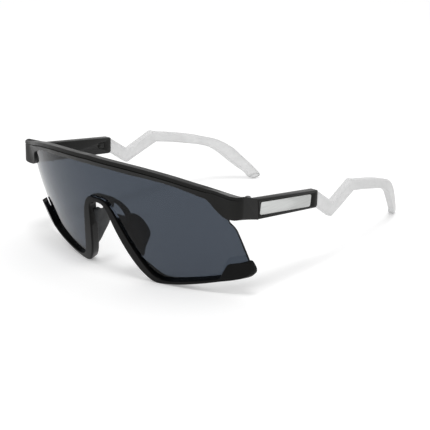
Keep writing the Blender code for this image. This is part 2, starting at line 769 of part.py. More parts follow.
left_pieces = (
    (pad_left, "nose_pad_right", front, rubber),
    (frame_hinge(), "frame_hinge_right", fixed_right, steel),
    (hinge_screw(), "hinge_screw_right", fixed_right, steel),
    (temple_hinge(), "temple_hinge_right", swing_right, steel),
    (temple_shell(), "temple_shell_right", swing_right, matt_black),
    (temple_plate(), "temple_plate_right", swing_right, pale_metal),
    (stem_catch(), "stem_catch_right", swing_right, matt_black),
    (ear_stem(), "ear_stem_right", swing_right, frosted),
)
for source, name, carrier, look in left_pieces:
    mirrored(source, name, carrier, look)
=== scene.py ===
# Sport sunglasses in a plain studio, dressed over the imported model.
# Metres, +Z up. -Y is the front and +X is the wearer's left.

from math import atan2, cos, pi, radians, sin, sqrt, tan

import bmesh
import bpy
from mathutils import Matrix, Vector

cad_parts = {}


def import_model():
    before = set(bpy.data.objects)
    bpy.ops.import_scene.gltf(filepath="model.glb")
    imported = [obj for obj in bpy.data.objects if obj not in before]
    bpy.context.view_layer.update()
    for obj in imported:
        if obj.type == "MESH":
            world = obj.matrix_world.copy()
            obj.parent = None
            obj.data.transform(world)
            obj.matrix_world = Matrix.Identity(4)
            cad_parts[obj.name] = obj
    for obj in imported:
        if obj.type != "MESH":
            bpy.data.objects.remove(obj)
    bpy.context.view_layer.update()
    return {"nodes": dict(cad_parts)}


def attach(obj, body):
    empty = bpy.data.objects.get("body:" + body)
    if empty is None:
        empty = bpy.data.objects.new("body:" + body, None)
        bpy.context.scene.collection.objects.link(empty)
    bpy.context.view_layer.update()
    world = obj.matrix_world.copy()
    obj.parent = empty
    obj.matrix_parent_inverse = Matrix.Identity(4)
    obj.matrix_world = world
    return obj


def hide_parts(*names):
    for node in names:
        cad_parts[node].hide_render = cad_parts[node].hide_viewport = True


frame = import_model()
nodes = frame["nodes"]

mm = 0.001


# Materials

ramp_start_share = 0.3
ramp_end_share = 0.7
mottle_scale = 60
sheen_scale = 220


def material(name, color, roughness, **sockets):
    """A Principled material. Sockets are given by their names with underscores for spaces."""
    made = bpy.data.materials.new(name)
    made.use_nodes = True
    shader = made.node_tree.nodes["Principled BSDF"]
    shader.inputs["Base Color"].default_value = (*color, 1)
    shader.inputs["Roughness"].default_value = roughness
    for socket, value in sockets.items():
        shader.inputs[socket.replace("_", " ")].default_value = value
    return made


def noise(made, scale, detail):
    """A noise over the object's own space."""
    tree = made.node_tree
    place = tree.nodes.new("ShaderNodeTexCoord")
    grain = tree.nodes.new("ShaderNodeTexNoise")
    grain.inputs["Scale"].default_value = scale
    grain.inputs["Detail"].default_value = detail
    tree.links.new(place.outputs["Object"], grain.inputs["Vector"])
    return grain


def ramp(made, source, low, high):
    """Colours or values from low to high over the middle of a noise."""
    colors = made.node_tree.nodes.new("ShaderNodeValToRGB")
    first, last = colors.color_ramp.elements
    first.position = ramp_start_share
    last.position = ramp_end_share
    first.color = (*low, 1)
    last.color = (*high, 1)
    made.node_tree.links.new(source.outputs["Fac"], colors.inputs["Fac"])
    return colors


def bump(made, source, height):
    """Fine relief that follows a noise."""
    tree = made.node_tree
    relief = tree.nodes.new("ShaderNodeBump")
    relief.inputs["Distance"].default_value = height
    relief.inputs["Strength"].default_value = 1
    tree.links.new(source.outputs["Fac"], relief.inputs["Height"])
    tree.links.new(relief.outputs["Normal"], tree.nodes["Principled BSDF"].inputs["Normal"])


def vary(made, socket, source, low, high):
    """Drives one of the shader's sockets by a noise, between two greys or two colours."""
    shader = made.node_tree.nodes["Principled BSDF"]
    colors = ramp(made, source, low, high)
    made.node_tree.links.new(colors.outputs["Color"], shader.inputs[socket])


def grey(value):
    return (value, value, value)


def moulded(name, color, lighter, roughness, spread, grain_scale, grain_height, gloss):
    """Moulded plastic or rubber: fine grain, faint mottling and uneven gloss."""
    made = material(name, color, roughness, Specular_IOR_Level=gloss)
    vary(made, "Base Color", noise(made, mottle_scale, 3), color, lighter)
    vary(made, "Roughness", noise(made, sheen_scale, 4), grey(roughness - spread), grey(roughness + spread))
    bump(made, noise(made, grain_scale, 2), grain_height)
    return made


def clouded_with_painted_edge_shade(made, middle, edge):
    """Lets light through a frosted piece, less so where its surface turns away at an edge: a painted shade
    that darkens the edges as refraction would.
    """
    tree = made.node_tree
    turned = tree.nodes.new("ShaderNodeLayerWeight")
    turned.inputs["Blend"].default_value = 0.5
    cover = tree.nodes.new("ShaderNodeMapRange")
    cover.inputs["To Min"].default_value = middle
    cover.inputs["To Max"].default_value = edge
    tree.links.new(turned.outputs["Facing"], cover.inputs["Value"])
    tree.links.new(cover.outputs["Result"], tree.nodes["Principled BSDF"].inputs["Alpha"])


def brushed(made, stretch, scale, height):
    """A noise drawn out into long fine lines along the object's own Y, also given as relief."""
    tree = made.node_tree
    place = tree.nodes.new("ShaderNodeTexCoord")
    squeeze = tree.nodes.new("ShaderNodeMapping")
    squeeze.inputs["Scale"].default_value = (1, stretch, 1)
    grain = tree.nodes.new("ShaderNodeTexNoise")
    grain.inputs["Scale"].default_value = scale
    grain.inputs["Detail"].default_value = 4
    tree.links.new(place.outputs["Object"], squeeze.inputs["Vector"])
    tree.links.new(squeeze.outputs["Vector"], grain.inputs["Vector"])
    bump(made, grain, height)
    return grain


matt_black = moulded("matt_black_nylon", (0.0055, 0.0055, 0.005), (0.008, 0.008, 0.0075), 0.4, 0.05,
                     2600, 0.02 * mm, 0.17)
gloss_black = moulded("satin_black_nylon", (0.002, 0.002, 0.002), (0.0032, 0.0032, 0.0032), 0.22, 0.04,
                      1500, 0.004 * mm, 0.09)
lens_edge = moulded("smoke_lens_edge", (0.006, 0.007, 0.008), (0.009, 0.01, 0.011), 0.2, 0.04,
                    1500, 0.002 * mm, 0.09)
rubber = moulded("charcoal_rubber", (0.02, 0.022, 0.024), (0.028, 0.03, 0.032), 0.6, 0.06,
                 2000, 0.02 * mm, 0.2)
plate_metal = material("pale_satin_metal", (0.62, 0.63, 0.62), 0.45, Metallic=0.5)
lines = brushed(plate_metal, 0.04, 2200, 0.004 * mm)
vary(plate_metal, "Roughness", lines, grey(0.4), grey(0.5))
vary(plate_metal, "Base Color", lines, (0.58, 0.59, 0.58), (0.66, 0.67, 0.66))
steel = material("blackened_steel", (0.1, 0.1, 0.105), 0.4, Metallic=1)
vary(steel, "Base Color", noise(steel, 300, 3), (0.08, 0.08, 0.085), (0.12, 0.12, 0.125))
vary(steel, "Roughness", noise(steel, 500, 3), grey(0.34), grey(0.5))
smoke = material("smoke_lens", (0.056, 0.067, 0.086), 0.04, Transmission_Weight=1, IOR=1.2)
vary(smoke, "Base Color", noise(smoke, 14, 1), (0.054, 0.065, 0.083), (0.058, 0.07, 0.089))
vary(smoke, "Roughness", noise(smoke, 90, 2), grey(0.03), grey(0.05))
frosted = material("frosted_clear", (0.69, 0.69, 0.69), 0.35, IOR=1.4)
vary(frosted, "Base Color", noise(frosted, 120, 2), grey(0.65), grey(0.73))
vary(frosted, "Roughness", noise(frosted, 300, 3), grey(0.3), grey(0.4))
bump(frosted, noise(frosted, 1600, 2), 0.002 * mm)
# The frosted stems get painted shade along their edges, from how far the surface turns away from view.
clouded_with_painted_edge_shade(frosted, 0.4, 0.8)

looks = {
    "brow_frame": matt_black, "lens": smoke, "lower_rim": gloss_black, "nose_bridge": matt_black,
    "nose_pad": rubber, "frame_hinge": steel, "hinge_screw": steel, "temple_hinge": steel,
    "temple_shell": matt_black, "temple_plate": plate_metal, "ear_stem": frosted,
    "stem_catch": matt_black,
}
node_sharp_limit = radians(32)
node_weld_gap = 0.002 * mm


def plain_name(node):
    return node.removesuffix("_left").removesuffix("_right")


for node, piece in nodes.items():
    piece.data.materials.clear()
    piece.data.materials.append(looks[plain_name(node)])
    piece.data.shade_smooth()
    piece.data.set_sharp_from_angle(angle=node_sharp_limit)
    weld = piece.modifiers.new("weld", "WELD")
    weld.merge_threshold = node_weld_gap


# Sizes of the front's wrapped surfaces

half_width = 71 * mm
rise = 32 * mm
apex_height = 30.024 * mm
apex_forward = 80.4 * mm
front_tilt = radians(16)
wrap_radius = 118 * mm
bow_radius = 250 * mm

# Sizes of the bar, its groove and its end blocks

bar_proud = 1.5 * mm
bar_depth = 5 * mm
bar_fall = radians(22)
bar_edge = 1.1 * mm
bar_round = 0.4 * mm
bar_sharp_limit = radians(28)
crease_drop = 0.45 * mm
crease_out = 0.3 * mm
groove_half = 0.3 * mm
groove_depth = 0.45 * mm
groove_lip = 0.1 * mm
lip_in = 0.75 * mm
block_proud = 6.2 * mm
block_top_proud = 4 * mm
block_corner = 2 * mm
block_rise = 0.3 * mm
block_seat_back = 3.4 * mm
block_seat_up = 4.3 * mm
block_seat_down = 3.4 * mm
seam_ease = 0.4 * mm
block_start_share = 0.765
block_seat_share = 0.85
block_rise_start_share = 0.8
block_rise_end_share = 0.93

# Sizes of the lower rim

rim_radius = 130 * mm
rim_back_radius = 122 * mm
rim_proud = 1.2 * mm
rim_depth = 3.4 * mm
rim_flange_back = -0.1 * mm
rim_deepest = 5.2 * mm
rim_chamfer = 0.6 * mm
rim_wall = 0.9 * mm
rim_round = 0.3 * mm
hook_thinner = 2 * mm
rim_chamfer_most_share = 0.4
rim_wall_most_share = 0.45
flange_end_share = 0.2
full_depth_share = 0.32
back_radius_share = 0.4
hook_thin_start_share = 0.75
hook_thin_end_share = 0.9
hook_lip_share = 0.3
hook_lip_start_share = 0.8
hook_lip_end_share = 0.88
tip_chamfer_start_share = 0.86
tip_chamfer_end_share = 0.95

# Sizes of the lens

lens_thickness = 1.8 * mm
lens_side_thickness = 0.7 * mm
lens_tuck = 1.6 * mm
lens_round = 0.2 * mm
rim_tuck = 0.9 * mm
hook_tuck = 1.8 * mm
hook_tuck_start_share = 0.8
hook_tuck_end_share = 0.87
lens_level_share = 0.88
lens_thin_share = 0.97

# Sizes of the nose piece

saddle_front = 4.5 * mm
saddle_back = 6.2 * mm
saddle_round = 0.35 * mm
pad_front = 2.1 * mm
pad_x = 5.23 * mm
pad_top = 1 * mm
pad_lean_run = 9 * mm
pad_reach = 13.2 * mm
pad_length = 23 * mm
pad_thickness = 1.8 * mm
pad_flare_radius = 45 * mm
pad_hollow = 0.1 * mm

# Sizes of the hinges, the temple shells and the ear stems

hinge_inset = 6.8 * mm
hinge_behind = 11.8 * mm
hinge_up = 4.5 * mm
seam_ahead = 1.2 * mm
temple_fall = radians(7.8)
seam_lean = radians(13)
shell_thickness = 4.5 * mm
shell_length = 43.9 * mm
shell_top = 4 * mm
shell_front_drop = 5.3 * mm
shell_rear_drop = 4.5 * mm
shell_end_lean = radians(5)
stem_thickness = 3.6 * mm
stem_length = 98 * mm
stem_drop = 28 * mm
stem_inset = 20 * mm
stem_gap = 0.3 * mm
stem_below_shell = 0.4 * mm
stem_round = 1 * mm

# Smallest turns that are rounded, and the fineness of the rim's line, which the lens follows

smooth_limit = radians(30)
lens_round_limit = radians(50)
stem_round_limit = radians(35)
rim_steps = 5

# Outlines, as shares of the half width and the rise where no comment says otherwise

brow_top_shares = (
    (0, 1.006), (0.201, 0.981), (0.351, 0.944), (0.486, 0.885), (0.608, 0.808),
    (0.721, 0.711), (0.828, 0.611), (0.879, 0.55), (0.928, 0.505), (1, 0.475),
)
brow_lip_shares = (
    (0, 0.859), (0.183, 0.844), (0.335, 0.803), (0.472, 0.756), (0.597, 0.681), (0.71, 0.566),
    (0.765, 0.497), (0.789, 0.473), (0.804, 0.441), (0.823, 0.375), (0.839, 0.309),
    (0.862, 0.228), (0.88, 0.185), (0.901, 0.168), (0.959, 0.175), (1, 0.19),
)
lens_side_shares = (
    (0.889, 0.13), (0.901, 0.09), (0.911, 0.04), (0.918, -0.013), (0.922, -0.063),
    (0.931, -0.231), (0.938, -0.4), (0.947, -0.67),
)
# Lens side and free side of the rim, in pairs from the nose out to the hook's end
rim_pair_shares = (
    ((0, 0.332), (0, 0.252)), ((0.044, 0.33), (0.044, 0.232)), ((0.086, 0.29), (0.076, 0.15)),
    ((0.117, 0.204), (0.094, 0)), ((0.139, 0.106), (0.11, -0.14)), ((0.166, -0.059), (0.131, -0.3)),
    ((0.214, -0.356), (0.176, -0.584)), ((0.263, -0.628), (0.223, -0.803)),
    ((0.311, -0.83), (0.276, -0.957)), ((0.336, -0.885), (0.301, -0.998)), ((0.366, -0.925), (0.331, -1.02)),
    ((0.4, -0.94), (0.385, -1.019)), ((0.438, -0.943), (0.445, -1.009)), ((0.51, -0.925), (0.514, -0.992)),
    ((0.642, -0.884), (0.654, -0.943)), ((0.74, -0.85), (0.78, -0.893)), ((0.776, -0.832), (0.83, -0.88)),
    ((0.798, -0.76), (0.868, -0.87)), ((0.82, -0.683), (0.914, -0.856)), ((0.842, -0.605), (0.95, -0.836)),
    ((0.863, -0.566), (0.972, -0.798)), ((0.886, -0.558), (0.981, -0.74)), ((0.91, -0.557), (0.981, -0.685)),
    ((0.942, -0.557), (0.977, -0.63)), ((0.958, -0.56), (0.972, -0.59)),
)
# Upper and under side of the nose piece, in pairs from the middle out and down
saddle_pair_shares = (
    ((0, 0.272), (0, 0.04)), ((0.035, 0.271), (0.034, 0.04)), ((0.06, 0.266), (0.05, 0.09)),
    ((0.085, 0.252), (0.066, 0.17)), ((0.105, 0.238), (0.088, 0.2)), ((0.135, 0.21), (0.114, 0.176)),
    ((0.165, 0.155), (0.144, 0.093)), ((0.185, 0.09), (0.156, 0.02)), ((0.196, -0.03), (0.158, -0.06)),
    ((0.203, -0.125), (0.155, -0.15)), ((0.214, -0.28), (0.172, -0.28)), ((0.232, -0.4), (0.19, -0.4)),
    ((0.24, -0.47), (0.2, -0.47)),
)
# Side outline of a nose pad, as shares of its reach backwards and of its length upwards
pad_leaf_shares = (
    (-0.05, 0.01), (0.15, 0), (0.32, -0.1), (0.48, -0.16), (0.66, -0.17), (0.81, -0.24), (0.9, -0.36),
    (0.93, -0.54), (0.89, -0.68), (0.75, -0.76), (0.47, -0.86), (0.25, -0.97), (0, -1.04),
)
# A pad's cushion: how far out from its middle, and how much of its half thickness there
pad_cushion_shares = ((0.988, 0.42), (0.95, 0.74), (0.88, 0.92), (0.74, 1), (0.5, 1.02), (0.25, 1.02))
# Upper and under side of an ear stem, as shares of its length and drop, in pairs from shell to tip
stem_pair_shares = (
    ((0.136, -0.255), (0.138, -0.525)), ((0.298, 0.068), (0.338, -0.152)), ((0.345, 0.042), (0.352, -0.156)),
    ((0.436, 0.018), (0.444, -0.178)), ((0.58, -0.035), (0.555, -0.218)), ((0.678, -0.095), (0.655, -0.262)),
    ((0.777, -0.168), (0.735, -0.33)), ((0.87, -0.325), (0.8, -0.45)), ((0.92, -0.465), (0.872, -0.63)),
    ((0.965, -0.595), (0.922, -0.75)), ((1.014, -0.747), (0.974, -0.872)), ((1.046, -0.86), (0.999, -0.962)),
    ((1.052, -0.915), (1.019, -0.982)),
)
# How far an ear stem turns inwards along its length, as shares of its length and inset
stem_inset_shares = (
    (0, 0), (0.12, 0.008), (0.31, 0.1), (0.44, 0.18), (0.56, 0.275), (0.67, 0.38), (0.775, 0.51),
    (0.857, 0.66), (0.918, 0.78), (0.968, 0.89), (1.06, 1.1),
)

front_place = Matrix.Translation((0, -apex_forward, apex_height)) @ Matrix.Rotation(front_tilt, 4, "X")
shell_inner_x = half_width - shell_thickness
shell_end = shell_length - seam_ahead


# Helpers for shapes

def scaled(shares, across, up):
    """Points from a table of shares."""
    return [(share_x * across, share_y * up) for share_x, share_y in shares]


def slopes(points):
    """Tangent at each point of a run, from its neighbours."""
    made = []
    for index, point in enumerate(points):
        before = points[max(index - 1, 0)]
        after = points[min(index + 1, len(points) - 1)]
        span = sqrt((after[0] - before[0]) ** 2 + (after[1] - before[1]) ** 2)
        made.append(((after[0] - before[0]) / span, (after[1] - before[1]) / span))
    return made


def run(points, steps):
    """A smooth polyline through the points."""
    made = [points[0]]
    tangents = slopes(points)
    for index in range(len(points) - 1):
        start, end = points[index], points[index + 1]
        span = sqrt((end[0] - start[0]) ** 2 + (end[1] - start[1]) ** 2)
        for step in range(1, steps + 1):
            t = step / steps
            weights = (2 * t ** 3 - 3 * t ** 2 + 1, t ** 3 - 2 * t ** 2 + t,
                       3 * t ** 2 - 2 * t ** 3, t ** 3 - t ** 2)
            made.append(tuple(
                weights[0] * start[k] + weights[1] * span * tangents[index][k]
                + weights[2] * end[k] + weights[3] * span * tangents[index + 1][k]
                for k in (0, 1)))
    return made


def pair_of_runs(pair_shares, steps):
    """Pairs of points along two smooth lines that are given by pairs of shares."""
    first = run([(x * half_width, y * rise) for (x, y), _ in pair_shares], steps)
    second = run([(x * half_width, y * rise) for _, (x, y) in pair_shares], steps)
    return list(zip(first, second))


def height_at(points, x):
    """Height of a smooth left-to-right curve at x."""
    index = 0
    while index < len(points) - 2 and points[index + 1][0] < x:
        index += 1
    (x0, y0), (x1, y1) = points[index], points[index + 1]
    grades = []
    for k in (index, index + 1):
        before = points[max(k - 1, 0)]
        after = points[min(k + 1, len(points) - 1)]
        grades.append((after[1] - before[1]) / (after[0] - before[0]))
    t = (x - x0) / (x1 - x0)
    return ((2 * t ** 3 - 3 * t ** 2 + 1) * y0 + (t ** 3 - 2 * t ** 2 + t) * (x1 - x0) * grades[0]
            + (3 * t ** 2 - 2 * t ** 3) * y1 + (t ** 3 - t ** 2) * (x1 - x0) * grades[1])


def straight_at(points, x):
    """Height of a polyline at x."""
    index = 0
    while index < len(points) - 2 and points[index + 1][0] < x:
        index += 1
    (x0, y0), (x1, y1) = points[index], points[index + 1]
    return y0 + (y1 - y0) * (x - x0) / (x1 - x0)


def wrap_depth(x, v, radius=wrap_radius, face=0):
    """Depth of a wrapped surface behind the apex."""
    reach = radius - face - v * v / (2 * bow_radius)
    return radius - sqrt(reach * reach - x * x)


pivot_x = half_width - hinge_inset
pivot_v = hinge_up
pivot_w = wrap_depth(pivot_x, pivot_v) + hinge_behind
pivot_y = pivot_w * cos(front_tilt) - pivot_v * sin(front_tilt) - apex_forward
hinge_height = pivot_w * sin(front_tilt) + pivot_v * cos(front_tilt) + apex_height
temple_place = Matrix.Translation((pivot_x, pivot_y, hinge_height)) @ Matrix.Rotation(-temple_fall, 4, "X")


def blend(x, start, end):
    """Rises smoothly from 0 at the start to 1 at the end."""
    t = min(max((x - start) / (end - start), 0), 1)
    return t * t * (3 - 2 * t)


def between(start, end, share):
    """The point at a share of the way from start to end."""
    return tuple(a + share * (b - a) for a, b in zip(start, end))


def turned_over(rings):
    """The same rings on the other side of the middle, in an order that runs on into the given ones."""
    other = [[(-x, w, v) for x, w, v in ring] for ring in rings]
    return list(reversed(other))[:-1]


def ring_rows(body, rings, place):
    """Vertices for each ring, joined from ring to ring by quads."""
    rows = [[body.verts.new(place @ Vector(point)) for point in ring] for ring in rings]
    for row, after in zip(rows, rows[1:]):
        join_rows(body, row, after)
    return rows


def join_rows(body, row, after):
    for k in range(len(row)):
        j = (k + 1) % len(row)
        body.faces.new((row[k], row[j], after[j], after[k]))


def placed(name, body, *looks_of_piece):
    """Turns a finished bmesh into an object of the scene."""
    mesh = bpy.data.meshes.new(name)
    body.to_mesh(mesh)
    body.free()
    for look in looks_of_piece:
        mesh.materials.append(look)
    made = bpy.data.objects.new(name, mesh)
    bpy.context.scene.collection.objects.link(made)
    return made


def closed_piece(name, body, *looks_of_piece):
    """A smooth solid whose faces look outwards."""
    bmesh.ops.recalc_face_normals(body, faces=body.faces)
    made = placed(name, body, *looks_of_piece)
    made.data.shade_smooth()
    return made


def skin(name, rings, place, look):
    """A loft through closed rings of points, with flat ends."""
    body = bmesh.new()
    rows = ring_rows(body, rings, place)
    body.faces.new(rows[0])
    body.faces.new(rows[-1])
    return closed_piece(name, body, look)


def rounded(piece, width, segments, limit):
    """Rounds every edge that turns by more than the limit."""
    step = piece.modifiers.new("rounded_edges", "BEVEL")
    step.width = width
    step.segments = segments
    step.limit_method = "ANGLE"
    step.angle_limit = limit
    step.use_clamp_overlap = False
    step.harden_normals = True


def round_rows(piece, count, corners, width, segments):
    """Rounds the edges of a loft that run along the given corners of its rings of so many points."""
    mesh = piece.data
    mesh.set_sharp_from_angle(angle=bar_sharp_limit)
    weights = mesh.attributes.new("bevel_weight_edge", "FLOAT", "EDGE")
    for edge in mesh.edges:
        a, b = edge.vertices
        if a % count == b % count and a % count in corners:
            weights.data[edge.index].value = 1
    rounded(piece, width, segments, 0)
    piece.modifiers["rounded_edges"].limit_method = "WEIGHT"


def worn_by(piece, body, slot, *replaced):
    """Files a piece under its body and hides the CAD nodes that it stands for; the slot is not used."""
    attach(piece, body)
    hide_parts(*replaced)


def mirror_place(place, sign):
    """A place on the wearer's left for 1, or its mirror image on the right for -1."""
    return Matrix.Scale(sign, 4, (1, 0, 0)) @ place


# Brow bar

def by_axis(back, up, lean):
    """A point of the front's depth and height plane, set out from the hinge in a leaning frame."""
    return (pivot_w + back * cos(lean) + up * sin(lean), pivot_v - back * sin(lean) + up * cos(lean))


def brow_ring(x, brow_top, brow_lip):
    """One section of the bar: the lip, the groove, the top edge and the rear."""
    side = abs(x)
    share = blend(side, block_start_share * half_width, block_seat_share * half_width)
    end = blend(side, block_seat_share * half_width, half_width)
    lip = height_at(brow_lip, side)
    risen = block_rise * blend(side, block_rise_start_share * half_width, block_rise_end_share * half_width)
    top = height_at(brow_top, side) + risen
    turn = max(side - (half_width - block_corner), 0)
    corner = block_corner - sqrt(max(block_corner ** 2 - turn ** 2, 0))
    low_proud = bar_proud + end * (block_proud - bar_proud)
    top_proud = bar_proud + end * (block_top_proud - bar_proud)
    lip_w = wrap_depth(side, lip) - low_proud
    edge_w = wrap_depth(side, top - bar_edge) - top_proud
    top_w = wrap_depth(side, top) - top_proud + bar_edge / 2
    bar_w = wrap_depth(side, lip) - bar_proud + bar_depth
    outer = blend(side, shell_inner_x - seam_ease, shell_inner_x)
    lean = front_tilt + temple_fall
    seam_high = by_axis(-seam_ahead - shell_top * tan(seam_lean), shell_top + risen, lean)
    seam_low = by_axis(-seam_ahead + shell_front_drop * tan(seam_lean), -shell_front_drop, lean)
    seat_high = by_axis(-block_seat_back, block_seat_up, front_tilt)
    seat_low = by_axis(-block_seat_back, -block_seat_down, front_tilt)
    bar_rear = (bar_w, top - (bar_w - top_w) * tan(bar_fall))
    high = between(bar_rear, between(seat_high, seam_high, outer), share)
    low = between((bar_w, lip), between(seat_low, seam_low, outer), share)
    level = corner * tan(front_tilt)
    crease_v = top - bar_edge - crease_drop
    crease_w = edge_w - crease_out * (1 - share)
    lip_w += lip_in * (1 - share)
    groove = ((crease_w, crease_v - groove_half), (crease_w + groove_depth, crease_v),
              (crease_w + groove_lip, crease_v + groove_half))
    face = [(w + corner, v - level)
            for w, v in ((lip_w, lip), *groove, (edge_w, top - bar_edge), (top_w, top))]
    return [(x, w, v) for w, v in face + [high, low]]


def brow_frame():
    """The bar with its end blocks, lofted from end to end."""
    brow_top = scaled(brow_top_shares, half_width, rise)
    brow_lip = scaled(brow_lip_shares, half_width, rise)
    bar_steps = 90
    block_steps = 3
    corner_steps = 7
    turn = half_width - block_corner
    places = [shell_inner_x * k / bar_steps for k in range(bar_steps + 1)]
    places += [shell_inner_x - seam_ease, shell_inner_x - seam_ease / 2]
    places += [shell_inner_x + (turn - shell_inner_x) * k / block_steps for k in range(1, block_steps)]
    places += [turn + block_corner * sin(pi / 2 * k / corner_steps) for k in range(corner_steps + 1)]
    places.sort()
    rings = [brow_ring(x, brow_top, brow_lip) for x in [-x for x in reversed(places[1:])] + places]
    made = skin("brow_bar", rings, front_place, matt_black)
    lip, edge, top, high, low = 0, 4, 5, 6, 7
    round_rows(made, len(rings[0]), (lip, edge, top, high, low), bar_round, 3)
    worn_by(made, "front", "matt_black", "brow_frame")


# Lower rim

def rim_back_at(x):
    """Depth of the rim's rear: a thin flange over the lens at the nose arch, full depth further out."""
    full = blend(x, flange_end_share * half_width, full_depth_share * half_width)
    return rim_flange_back + (rim_depth - rim_flange_back) * full


def rim_face_at(x, v):
    """Depth of the rim's front, on a flatter wrap than the lens's."""
    return wrap_depth(x, v, rim_radius, -rim_proud)


def rim_rear_at(x, v, depth):
    """Depth of the rim's rear, held back where the rim would grow too deep, most of all at the hooks."""
    eased = blend(x, 0, back_radius_share * half_width)
    radius = wrap_radius + (rim_back_radius - wrap_radius) * eased
    thinner = hook_thinner * blend(x, hook_thin_start_share * half_width, hook_thin_end_share * half_width)
    return min(wrap_depth(x, v, radius, depth), rim_face_at(x, v) + rim_deepest - thinner)


def rim_ring(lens_side, free_side):
    """One section of the rim: a chamfered front, a deep wall on the free side and the part over the lens."""
    ax, av = lens_side
    bx, bv = free_side
    wide = sqrt((bx - ax) ** 2 + (bv - av) ** 2)
    tip = blend(bx, tip_chamfer_start_share * half_width, tip_chamfer_end_share * half_width)
    fall = rim_chamfer * (1 + tip)
    chamfer = between(free_side, lens_side, min(fall / wide, rim_chamfer_most_share))
    hook = blend(ax, hook_lip_start_share * half_width, hook_lip_end_share * half_width)
    rear = between(lens_side, free_side, hook_lip_share * hook)
    wall = between(free_side, rear, min(rim_wall / wide, rim_wall_most_share))
    ring = [(x, rim_face_at(x, v), v) for x, v in (lens_side, chamfer)]
    ring.append((bx, rim_face_at(bx, bv) + fall, bv))
    for (x, v), depth in ((free_side, rim_depth), (wall, rim_depth), (wall, rim_back_at(ax)),
                          (rear, rim_back_at(ax))):
        ring.append((x, rim_rear_at(x, v, depth), v))
    return ring


def lower_rim():
    """The rim with its nose arch and its hooks, lofted from hook to hook."""
    rings = [rim_ring(*sides) for sides in pair_of_runs(rim_pair_shares, rim_steps)]
    made = skin("rim_bar", turned_over(rings) + rings, front_place, gloss_black)
    rounded(made, rim_round, 3, smooth_limit)
    worn_by(made, "front", "gloss_black", "lower_rim")


# Lens

def lens_line(k, columns, rows, lip, side, rim_line):
    """Points of one column of the lens, from under the rim up into the bar."""
    share = abs(k) / columns
    sign = 1 if k >= 0 else -1
    side_x = [(v, x) for x, v in reversed(side)]
    low_v, low_x = side_x[0]
    high_v = height_at(lip, block_seat_share * half_width) + lens_tuck
    hook = hook_tuck * blend(share, hook_tuck_start_share, hook_tuck_end_share)
    bottom = straight_at(rim_line, share * low_x) - rim_tuck - hook
    bottom += (low_v - bottom) * blend(share, lens_level_share, 1)
    top = height_at(lip, share * side[0][0]) + lens_tuck
    line = []
    for j in range(rows + 1):
        t = j / rows
        edge_v = low_v + (high_v - low_v) * t
        reach = straight_at(side_x, min(max(edge_v, low_v), side_x[-1][0]))
        line.append((share * reach * sign, bottom + (top - bottom) * t))
    return line


def lens_shield():
    """A thin wrapped sheet whose top and bottom are tucked into the bar and the rim."""
    lip = scaled(brow_lip_shares, half_width, rise)
    side = run(scaled(lens_side_shares, half_width, rise), 6)
    rim_line = [lens_side for lens_side, _ in pair_of_runs(rim_pair_shares, rim_steps)]
    columns = 96
    rows = 40
    rings = []
    for k in range(-columns, columns + 1):
        line = lens_line(k, columns, rows, lip, side, rim_line)
        thinner = (lens_thickness - lens_side_thickness) * blend(abs(k) / columns, lens_thin_share, 1)
        ahead = [(x, wrap_depth(x, v), v) for x, v in line]
        behind = [(x, wrap_depth(x, v, wrap_radius, lens_thickness - thinner), v) for x, v in line]
        rings.append(ahead + list(reversed(behind)))
    body = bmesh.new()
    grid = ring_rows(body, rings, front_place)
    for row in (grid[0], grid[-1]):
        for m in range(rows):
            body.faces.new((row[m], row[m + 1], row[-m - 2], row[-m - 1])).material_index = 1
    made = closed_piece("lens_shield", body, smoke, lens_edge)
    rounded(made, lens_round, 2, lens_round_limit)
    worn_by(made, "front", "smoke_lens", "lens")


# Nose piece

def nose_saddle():
    """A slender arch behind the lens whose two arms run down to the pads."""
    rings = []
    for outer, inner in pair_of_runs(saddle_pair_shares, 4):
        front = [(x, wrap_depth(x, v, wrap_radius, saddle_front), v) for x, v in (outer, inner)]
        back = [(x, wrap_depth(x, v, wrap_radius, saddle_back), v) for x, v in (inner, outer)]
        rings.append(front + back)
    made = skin("nose_saddle", turned_over(rings) + rings, front_place, matt_black)
    rounded(made, saddle_round, 3, smooth_limit)
    worn_by(made, "front", "matt_black", "nose_bridge")


def pad_outline():
    """Side outline of a nose pad, as distances backwards and upwards from its top front corner."""
    slope = atan2(pad_lean_run, pad_length)
    foot_back = wrap_depth(pad_x + pad_lean_run, pad_top - pad_length) - wrap_depth(pad_x, pad_top)
    leaf = [(y * pad_reach - z * foot_back, z * pad_length / cos(slope)) for y, z in pad_leaf_shares]
    edge = run(leaf, 6)
    hollow = ((edge[-1][0] + edge[0][0]) / 2 - pad_hollow, -pad_length / 2)
    return edge + run([edge[-1], hollow, edge[0]], 8)[1:-1]


def nose_wing(side):
    """A soft pad, full in the middle and rounded to its edge, that flares outwards as it runs back."""
    sign = 1 if side == "left" else -1
    lean = Matrix.Rotation(-atan2(pad_lean_run, pad_length), 4, "Y")
    corner = Matrix.Translation((pad_x, pad_front + wrap_depth(pad_x, pad_top), pad_top))
    to_world = mirror_place(front_place @ corner @ lean, sign)
    edge = pad_outline()
    middle = (sum(y for y, _ in edge) / len(edge), sum(z for _, z in edge) / len(edge))
    centre_radius = pad_flare_radius - pad_thickness / 2

    def spot(share, level, point):
        back, up = between(middle, point, share)
        radius = centre_radius - level * pad_thickness / 2
        turn = back / centre_radius
        return to_world @ Vector((pad_flare_radius - radius * cos(turn), radius * sin(turn), up))

    body = bmesh.new()
    outermost = [body.verts.new(spot(1, 0, point)) for point in edge]
    for face in (1, -1):
        row = outermost
        for share, level in pad_cushion_shares:
            after = [body.verts.new(spot(share, face * level, point)) for point in edge]
            join_rows(body, row, after)
            row = after
        crown = body.verts.new(spot(0, face * pad_cushion_shares[-1][1], middle))
        for k in range(len(row)):
            body.faces.new((row[k], row[(k + 1) % len(row)], crown))
    made = closed_piece("nose_wing_" + side, body, rubber)
    worn_by(made, "front", "charcoal_rubber", "nose_pad_" + side)


# Ear stems

